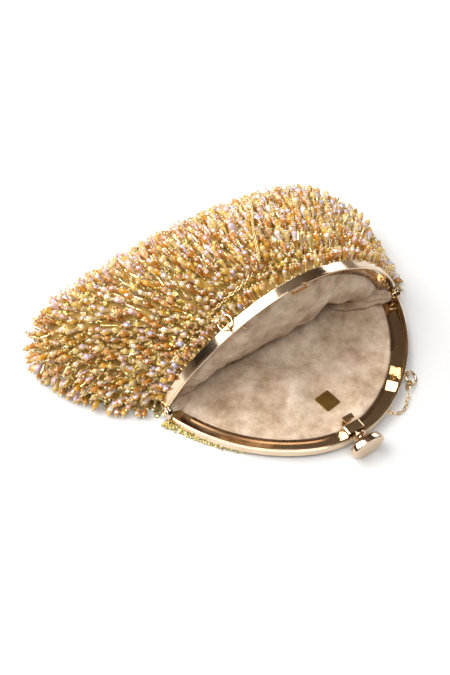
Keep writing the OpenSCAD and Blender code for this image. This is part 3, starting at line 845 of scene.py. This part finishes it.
def make_back_lining():
    """Lining over the bag's back, wrinkled softly and glued along the back half's flange."""
    inset = FLANGE_W + 0.15
    grid = back_grid(141, inset, 46, 44, 0.9, LINING_IN + 0.4)
    x, y = grid[..., 0], grid[..., 1]
    from_rim = -y - arch_depth(x, inset)
    rim_clear = np.where(y < 0, smooth_step(0, 9, -from_rim), 1)
    side_clear = np.where(y < 4, smooth_step(0, 7, half_foot(inset) - np.abs(x)), 1)
    plate_clear = smooth_step(9, 22, np.linalg.norm(grid[..., :2] - PLATE, axis=-1))
    calm = np.minimum(np.minimum(rim_clear, side_clear), plate_clear)
    slanted = np.stack([0.75 * x + 0.55 * y, (0.75 * y - 0.55 * x) * 0.45, grid[..., 2]], -1)
    waves = 0.5 + 0.5 * fractal(slanted, 24, 8, 2)
    small = fractal(slanted, 9, 9, 2)
    dent = np.exp(-(((x - 28) / 40) ** 2 + ((y + 6) / 14) ** 2))
    rise = calm * (0.4 + 7.0 * waves ** 1.6 + 1.0 * small) * (1 - 0.8 * dent)
    grid[..., 2] = np.maximum(FLOOR + 3.9 + rise, FLOOR + 3.4)
    edge_roll = np.exp(-((from_rim + 2.2) / 1.6) ** 2) * (y < 0)
    grid[..., 2] += edge_roll * (0.9 + 0.8 * fractal(grid, 7, 11, 2))
    piece = add_object("back_lining_cloth", sheet_shell(grid, -LINING_T), lining_cloth, "root")
    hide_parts("back_lining")


def make_lining_gathers():
    """Lining bunched in folds where the two halves of the frame meet, one bunch at each hinge."""
    routes = {"right": ([[44, 19, -2.5], [54, 12, -1.0], [65, 7.5, 0.5], [76, 3.6, 0.6],
                         [85.2, 0.6, -0.6]], [0.4, 4.6, 6.6, 5.4, 2.5]),
              "left": ([[-60, 14, -4.5], [-68, 8, -3.6], [-76, 4.5, -2.2], [-82, 2, -1.2],
                        [-85.2, 0.6, -0.8]], [0.4, 3.2, 4.0, 3.4, 2.3])}
    around = circle(40)
    share = np.linspace(0, 1, 60)
    twist = around[None, :] + 0.9 * share[:, None]
    folds = 1 + 0.16 * np.sin(5 * twist) + 0.08 * np.sin(9 * twist + 4 * share[:, None])
    gathers = []
    for label, (route, radii) in routes.items():
        centres = along(route, share)
        radius = np.interp(share, np.linspace(0, 1, len(radii)), radii)
        side, down = axes_across(unit(np.gradient(centres, axis=0)), [0, 0, 1.0])
        rings = tube(centres, side, -0.8 * down, radius[:, None] * folds, around)
        rings += 1.3 * fractal(rings, 9, 21, 2)[..., None] * np.array([0.2, 0.8, 1.0])
        rings[..., 2] = np.maximum(rings[..., 2], FLOOR + LINING_LOW + 0.3)
        gathers.append(add_object(f"lining_gather_{label}", swept(rings), lining_cloth))
    return gathers


def make_back_fabric():
    rows_in = 24
    grid = back_grid(101, FLANGE_W - 4, rows_in, 30, 0.99, FABRIC_IN + 0.4)
    grid[:rows_in, :, 2] = FLOOR + 1.9
    grid[rows_in:, :, 2] = FLOOR + 2.1
    grid[..., 2] += 0.2 * fractal(grid, 15, 13, 2)
    piece = add_object("back_ground_cloth", sheet_shell(grid, -FABRIC_T), ground_cloth, "root")
    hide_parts("back_fabric")


# --- Beads ---

AMBER = np.array([[0.78, 0.37, 0.035], [0.84, 0.48, 0.07], [0.55, 0.20, 0.015],
                  [0.88, 0.60, 0.16], [0.68, 0.29, 0.05], [0.90, 0.66, 0.26],
                  [0.66, 0.26, 0.03], [0.80, 0.42, 0.14]])
# Pale tints: the body colour of the clear drops, and the painted highlights and glints on drop
# facets.
PALE_GLASS_AND_PAINTED_GLINT = np.array([[0.86, 0.66, 0.80], [0.95, 0.87, 0.80], [0.90, 0.62, 0.58],
                  [0.74, 0.70, 0.90]])
PALE_GOLD = np.array([[0.96, 0.76, 0.34], [0.92, 0.66, 0.24], [0.98, 0.86, 0.56],
                      [0.80, 0.62, 0.20]])
GREEN_GOLD = np.array([[0.74, 0.60, 0.16], [0.86, 0.74, 0.34], [0.60, 0.46, 0.10],
                       [0.92, 0.84, 0.50]])

# Shares of the drops that are clear and of the drops with a painted highlight on their upward
# facets, of those facets that get it, and of all facets that get a painted glint. The last number
# is how far up a facet must face for the painted highlight.
CLEAR_SHARE, PAINTED_GLINT_DROP_SHARE, PAINTED_GLINT_FACET_SHARE, PAINTED_STRAY_GLINT_SHARE, PAINTED_GLINT_UPWARD = 0.035, 0.42, 0.8, 0.05, 0.66


def turned_rings(levels, sides, stagger=0.0):
    """Rings of points about Z at levels of (height, radius), every other ring staggered."""
    rings = []
    for k, (z, r) in enumerate(levels):
        turn = circle(sides) + stagger * (k % 2) * 2 * math.pi / sides
        rings.append(np.stack([r * np.cos(turn), r * np.sin(turn), np.full(sides, z)], -1))
    return np.concatenate(rings)


def drop_base():
    """Faceted drop along Z, narrow end at 0 and 4 across."""
    sides = 8
    levels = [(0.0, 0.34), (1.7, 0.85), (3.9, 1.48), (5.8, 2.02), (7.1, 1.62), (7.9, 0.6)]
    points = turned_rings(levels, sides, 0.5)
    triangles = []
    for k in range(len(levels) - 1):
        for c in range(sides):
            a, b = k * sides + c, k * sides + (c + 1) % sides
            if k % 2 == 0:
                triangles += [(a, b, a + sides), (b, b + sides, a + sides)]
            else:
                triangles += [(a, b + sides, a + sides), (a, b, b + sides)]
    first, last = len(points), len(points) + 1
    top = (len(levels) - 1) * sides
    for c in range(sides):
        triangles.append((first, (c + 1) % sides, c))
        triangles.append((last, top + c, top + (c + 1) % sides))
    return np.vstack([points, [[0, 0, 0], [0, 0, DROP_L]]]), np.array(triangles)


def tube_base(length, radius, hole, sides=6):
    """Bugle along Z from 0: a cut glass tube with a hole dimple in each end."""
    levels = [(0.35, hole * 0.2), (0.0, hole), (0.0, radius * 0.85), (0.12, radius)]
    levels += [(length - z, r) for z, r in reversed(levels)]
    last = (len(levels) - 1) * sides
    triangles = list(triangles_of(grid_faces(len(levels), sides, wrap=True)))
    triangles += [(0, c + 1, c) for c in range(1, sides - 1)]
    triangles += [(last, last + c, last + c + 1) for c in range(1, sides - 1)]
    return turned_rings(levels, sides), np.array(triangles)


def seed_base(radius, sides=8, bends=5):
    """Round seed bead: a fat ring about Z."""
    wire = radius * 0.58
    section = circle(bends)
    r = radius - wire + wire * np.cos(section)
    rings = [np.stack([r * math.cos(a), r * math.sin(a), wire * 1.15 * np.sin(section)], -1)
             for a in circle(sides)]
    return np.concatenate(rings), closed_faces(sides, bends)[:, ::-1]


def sequin_base(radius=2.0, sides=14):
    """Cupped sequin about Z with a centre hole, a thin closed shell."""
    thick = 0.14
    levels = [(0.0, 0.32), (0.04, 0.9), (0.28, radius * 0.72), (0.62, radius)]
    levels += [(z + thick, r) for z, r in reversed(levels)]
    return turned_rings(levels, sides), closed_faces(len(levels), sides)


def surface(s, turn, inset):
    """Point, outward normal and tangent towards the foot on the pouch."""
    step = 0.002
    across = (pouch(np.minimum(s + step, 1), turn, inset, FABRIC_LOW)
              - pouch(np.maximum(s - step, 0), turn, inset, FABRIC_LOW))
    down = (pouch(s, np.minimum(turn + step, 1), inset, FABRIC_LOW)
            - pouch(s, np.maximum(turn - step, 0), inset, FABRIC_LOW))
    return pouch(s, turn, inset, FABRIC_LOW), unit(np.cross(across, down)), unit(down)


def scatter(spacing_row, spacing_col, keep_apart, jitter, turn_low=0.006, turn_high=0.95):
    """Rows of points over the pouch, parallel to the mouth and evenly spaced on the cloth."""
    fine = np.linspace(turn_low, turn_high, 400)
    run = run_along(pouch(0.5, fine, FABRIC_IN))
    line_s = np.linspace(0.004, 0.996, 500)
    chosen, kept = [], np.zeros((0, 3))
    for k, turn in enumerate(np.interp(np.arange(0, run[-1], spacing_row), run, fine)):
        run_s = run_along(pouch(line_s, turn, FABRIC_IN))
        offsets = np.arange((k % 2) * spacing_col / 2, run_s[-1], spacing_col)
        offsets = offsets + rng.normal(0, jitter, len(offsets))
        s_row = np.interp(np.clip(offsets, 0, run_s[-1]), run_s, line_s)
        t_row = np.clip(turn + rng.normal(0, jitter / 260, len(s_row)), turn_low, turn_high)
        for s, t, p in zip(s_row, t_row, pouch(s_row, t_row, FABRIC_IN)):
            if len(kept) and np.min(np.linalg.norm(kept[-400:] - p, axis=1)) < keep_apart:
                continue
            chosen.append((s, t))
            kept = np.vstack([kept, p])
    return np.array(chosen)


def pick(palette, count):
    shade = rng.uniform(0.82, 1.12, (count, 1))
    return np.clip(palette[rng.integers(0, len(palette), count)] * shade, 0, 1)


def bead_piece(name, base, origins, directions, tints, material, scales=1.0, painted_glint_drops=None):
    """Every bead of one kind. With a mask of drops, pale colour is painted as highlights on their
    upward facets and as glints on a few random facets.
    """
    base_points, base_triangles = base
    count = len(origins)
    spin = rng.uniform(0, 2 * math.pi, count)
    frames = np.stack([*axes_across(directions, [0.31, 0.53, 0.79], spin), directions], 1)
    points, triangles = many(base_points, base_triangles, frames, origins, scales)
    per_face = np.repeat(tints, len(base_triangles), 0)
    if painted_glint_drops is not None:
        # Painted highlight: upward-facing facets of the chosen drops, and a few random facets,
        # take a pale glint colour.
        corners = points[triangles]
        upward = unit(np.cross(corners[:, 1] - corners[:, 0], corners[:, 2] - corners[:, 0]))[:, 2]
        painted_glint_colours = np.repeat(pick(PALE_GLASS_AND_PAINTED_GLINT, count), len(base_triangles), 0)
        painted_glint_facets = np.repeat(painted_glint_drops, len(base_triangles)) & (upward > PAINTED_GLINT_UPWARD)
        painted_glint_facets &= rng.random(len(per_face)) < PAINTED_GLINT_FACET_SHARE
        painted_glint_facets |= rng.random(len(per_face)) < PAINTED_STRAY_GLINT_SHARE
        per_face[painted_glint_facets] = painted_glint_colours[painted_glint_facets]
    mesh = triangles_mesh(points, triangles, per_face)
    seeds = material == seed_glass
    return add_object(name, mesh, material, smooth=seeds)


def strands(chosen, reach, lean, spread):
    """Roots and directions of strands that stand off the cloth and lean to the foot."""
    s, turn = chosen[:, 0], chosen[:, 1]
    roots, normal, foot = surface(s, turn, FABRIC_IN - 0.3)
    count = len(s)
    to_left = -roots[:, 0]
    lift_at_mouth, lift_at_left, lift_at_foot = 22, 17, 6
    angle = np.radians(lean + rng.normal(0, spread, count)
                       + lift_at_mouth * (1 - smooth_step(0, 0.07, turn))
                       + lift_at_left * smooth_step(60, 105, to_left)
                       + lift_at_foot * smooth_step(0.2, 0.6, turn))
    side = np.cross(normal, foot) * rng.normal(0, spread / 70, count)[:, None]
    fall = unit(foot * np.array([0.45, 1, 1]) + np.array([0.10, 0.12, 0]))
    heading = unit(fall * np.cos(angle)[:, None] + normal * np.sin(angle)[:, None] + side)
    # Tips that would end under the floor are lifted to lie along it
    climb = np.maximum(heading[:, 2], np.clip((FLOOR + STRAND_LOW - roots[:, 2]) / reach, -1, 0.9))
    flat = np.linalg.norm(heading[:, :2], axis=1) + TINY
    heading[:, :2] *= (np.sqrt(1 - climb ** 2) / flat)[:, None]
    heading[:, 2] = climb
    sunk = 4.5 * smooth_step(50, 100, to_left)
    return roots - heading * sunk[:, None], heading


def mouth_strands(inset, back, share):
    """A row of strands along the front half's arch, pointing up and away from the mouth."""
    count = 46
    s = (np.arange(count) + 0.5 + share) / (count + 1)
    s = 0.04 + 0.92 * np.clip(s + rng.normal(0, 0.003, count), 0, 1)
    roots = front_edge(s, inset, back)
    outward = unit(front_edge(s, inset - 5, back) - roots)
    heading = outward * 0.8 + np.array([0, 0.55, 0.1]) + rng.normal(0, 0.16, outward.shape)
    return roots, unit(heading)


def make_fringe():
    strung = {"drops": [], "bugles": [], "seeds": []}

    def thread(kind, *distances, size=1.0):
        """Puts beads of a kind on the strands at hand, at distances from their roots."""
        for distance in distances:
            run = np.broadcast_to(distance, len(roots))[:, None]
            sizes = np.broadcast_to(size, len(roots))
            strung[kind].append((roots + heading * run, heading, sizes))

    def end_in_drop(smallest, largest, drop_at, *seeds_at):
        """Seeds up a strand, then a drop of random size with a stop bead under it."""
        size = rng.uniform(smallest, largest, len(roots))
        thread("drops", drop_at, size=size)
        thread("seeds", *seeds_at, drop_at + DROP_L * size + 0.5)

    # Long strands: seed, bugle, seed, drop, stop bead
    roots, heading = strands(scatter(6.4, 5.9, 4.4, 0.7), 15.5, 37, 7)
    end_in_drop(0.88, 1.06, SEED_L * 2 + BUGLE_L, SEED_L / 2, SEED_L * 1.5 + BUGLE_L)
    thread("bugles", SEED_L)

    # Short strands between them: seed, drop, stop bead
    roots, heading = strands(scatter(6.8, 6.2, 4.0, 1.1, turn_low=0.02), 11, 47, 12)
    end_in_drop(0.72, 0.95, SEED_L, SEED_L / 2)

    # Loops of bugles and seeds alone
    roots, heading = strands(scatter(6.0, 5.6, 3.6, 1.6), 12.5, 40, 16)
    thread("bugles", 1.4, 7.2)
    thread("seeds", 0.7, 6.8, 12.8)

    # Strands along the mouth, which stand behind the front half's wall
    for inset, back, share in ((6.5, WALL_H + 1.2, 0.0), (2.5, WALL_H + 0.6, 0.5),
                               (6.0, WALL_H + 3.5, 0.25)):
        roots, heading = mouth_strands(inset, back, share)
        end_in_drop(0.65, 0.9, 2.0, 0.4, 1.4)

    # Upright strands on the first strip of cloth behind the mouth
    count = 50
    for turn, lean in ((0.003, 84), (0.016, 70), (0.030, 62), (0.046, 56)):
        s = 0.02 + 0.96 * (np.arange(count) + 0.5 + rng.normal(0, 0.2, count)) / count
        roots, heading = strands(np.stack([s, np.full(count, turn)], -1), 9, lean, 10)
        end_in_drop(0.7, 0.95, 1.6, 0.4, 1.2)

    drops, drop_dirs, sizes = map(np.concatenate, zip(*strung["drops"]))
    tints = pick(AMBER, len(drops))
    clear = rng.random(len(drops)) < CLEAR_SHARE
    tints[clear] = pick(PALE_GLASS_AND_PAINTED_GLINT, int(clear.sum()))
    # Drops whose upward facets get a painted highlight
    painted_glint_drops = rng.random(len(drops)) < PAINTED_GLINT_DROP_SHARE
    pieces = [bead_piece("front_glass_drops", drop_base(), drops, drop_dirs, tints, glass,
                         sizes, painted_glint_drops)]
    bugles, bugle_dirs, _ = map(np.concatenate, zip(*strung["bugles"]))
    pieces.append(bead_piece("front_bugles", tube_base(BUGLE_L, 0.58, 0.25), bugles, bugle_dirs,
                             pick(PALE_GOLD, len(bugles)), bugle_gold))
    seeds, seed_dirs, _ = map(np.concatenate, zip(*strung["seeds"]))
    left = seeds[:, 0] < -10
    for label, mask in (("left", left), ("right", ~left)):
        count = int(mask.sum())
        mixture = np.where(rng.random(count)[:, None] < 0.6, pick(PALE_GOLD, count),
                           pick(GREEN_GOLD, count))
        pieces.append(bead_piece(f"front_seed_beads_{label}", seed_base(SEED_R), seeds[mask],
                                 seed_dirs[mask], mixture, seed_glass))

    # Sequins and seeds sewn flat between the strands
    flat = scatter(5.2, 4.9, 3.2, 1.3)
    s, turn = flat[:, 0], flat[:, 1]
    near_frame = rng.random(len(flat)) < 0.45 + 0.5 * (1 - smooth_step(0.02, 0.3, turn))
    place, normal, _ = surface(s, turn, FABRIC_IN - 0.5)
    tilt = unit(normal + rng.normal(0, 0.28, normal.shape))[near_frame]
    lifted = (place + normal * rng.uniform(0.2, 4.5, len(flat))[:, None])[near_frame]
    pieces.append(bead_piece("front_sequins", sequin_base(), lifted, tilt,
                             pick(GREEN_GOLD, len(lifted)), sequin_film))
    pieces.append(bead_piece("front_sequin_stops", seed_base(0.8), lifted + tilt * 0.5, tilt,
                             pick(PALE_GOLD, len(lifted)), seed_glass))
    return pieces


def make_back_beads():
    """Sequins and seed beads sewn flat on the back, where the bag rests, with the edge that
    shows past the frame's left side."""
    step = 3.7
    x, y = np.meshgrid(np.arange(-150, 112, step), np.arange(-80, 112, step * 0.87))
    x = (x + (np.arange(len(x)) % 2)[:, None] * step / 2).ravel()
    y = y.ravel()
    in_arch = (y < 0) & (np.abs(x) < half_foot(0) - 4) & (-y < arch_depth(x, 6.0))
    in_pouch = np.zeros(len(x), bool)
    loop = np.vstack([along(POUCH_EDGE, np.linspace(0, 1, 200)), [[99, -1], [-99, -1]]])
    centre = loop.mean(0)
    loop = centre + (loop - centre) * 0.93
    for (x0, y0), (x1, y1) in zip(loop, np.roll(loop, -1, 0)):
        crosses = (y0 > y) != (y1 > y)
        with np.errstate(divide="ignore", invalid="ignore"):
            hit = x < (x1 - x0) * (y - y0) / (y1 - y0) + x0
        in_pouch ^= crosses & hit
    keep = in_arch | (in_pouch & (y >= 0))
    x, y = x[keep], y[keep]
    count = len(x)
    points = np.stack([x + rng.normal(0, 0.4, count), y + rng.normal(0, 0.4, count),
                       np.full(count, FLOOR + 0.95)], -1)
    down = np.stack([rng.normal(0, 0.12, count), rng.normal(0, 0.12, count), -np.ones(count)], -1)
    sequins = bead_piece("back_sequins", sequin_base(1.9), points, unit(down),
                         pick(GREEN_GOLD, count), sequin_film)
    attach(sequins, "root")
    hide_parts("back_fringe")

    s = np.linspace(0, 1, 58)
    x = -HALF_W * np.cos(math.pi * (0.02 + 0.24 * s))
    angle = np.array([wall_angle(v) for v in x])
    out = np.stack([np.sin(angle), -np.cos(angle), np.zeros(len(x))], -1)
    origin, heading = [], []
    for layer in range(4):
        reach = rng.uniform(-1.5, 4.0, len(x)) * (1 - s) - 1.5 * s
        base = np.stack([x, -arch_depth(x, 0), np.full(len(x), FLOOR + 1.0 + 0.45 * layer)], -1)
        origin.append(base + out * reach[:, None] + rng.normal(0, 0.5, base.shape) * [1, 1, 0])
        heading.append(unit(rng.normal(0, 1, base.shape) * [1, 1, 0.12]))
    origin, heading = np.concatenate(origin), np.concatenate(heading)
    origin[:, 2] = np.clip(origin[:, 2], FLOOR + 0.9, FLOOR + 2.4)
    edge_seeds = bead_piece("back_edge_seed_beads", seed_base(SEED_R), origin, heading,
                            pick(GREEN_GOLD, len(origin)), seed_glass)
    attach(edge_seeds, "root")


# --- The whole bag ---

def carry_over_materials():
    """Finishes of the CAD nodes that are shown as they are."""
    finishes = (
        (hardware_gold, ("hinge_washers", "latch_hook", "catch_staple", "left_bracket",
                         "right_bracket", "left_loop", "right_loop", "left_ring", "right_ring")),
        (channel, ("back_channel_strip", "front_channel_strip")),
        (chain_gold, ("left_end_link", "right_end_link", "tail_links")),
        (plate_brass, ("maker_plate",)))
    for finish, nodes in finishes:
        for node in nodes:
            for slot in frame["nodes"][node].material_slots:
                slot.link = "OBJECT"
                slot.material = finish


def blend_to_front(piece):
    """Bakes the piece's placing into its mesh."""
    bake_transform(piece)


make_camera()
chain_piece = make_chain()
make_studio()
carry_over_materials()
make_frame_half("front_frame_half", "front_frame", "front_half", True)
make_frame_half("back_frame_half", "back_frame", "root", False)
make_rivets()
make_clasp()
make_spring()
make_housing()
make_back_fabric()
make_back_lining()
make_back_beads()
soft_front = [make_front_fabric(), make_padding(), make_front_lining()] + make_fringe()
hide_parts("front_fringe")
for soft in soft_front:
    blend_to_front(soft)
for gather in make_lining_gathers():
    blend_to_front(gather)
blend_to_front(chain_piece)
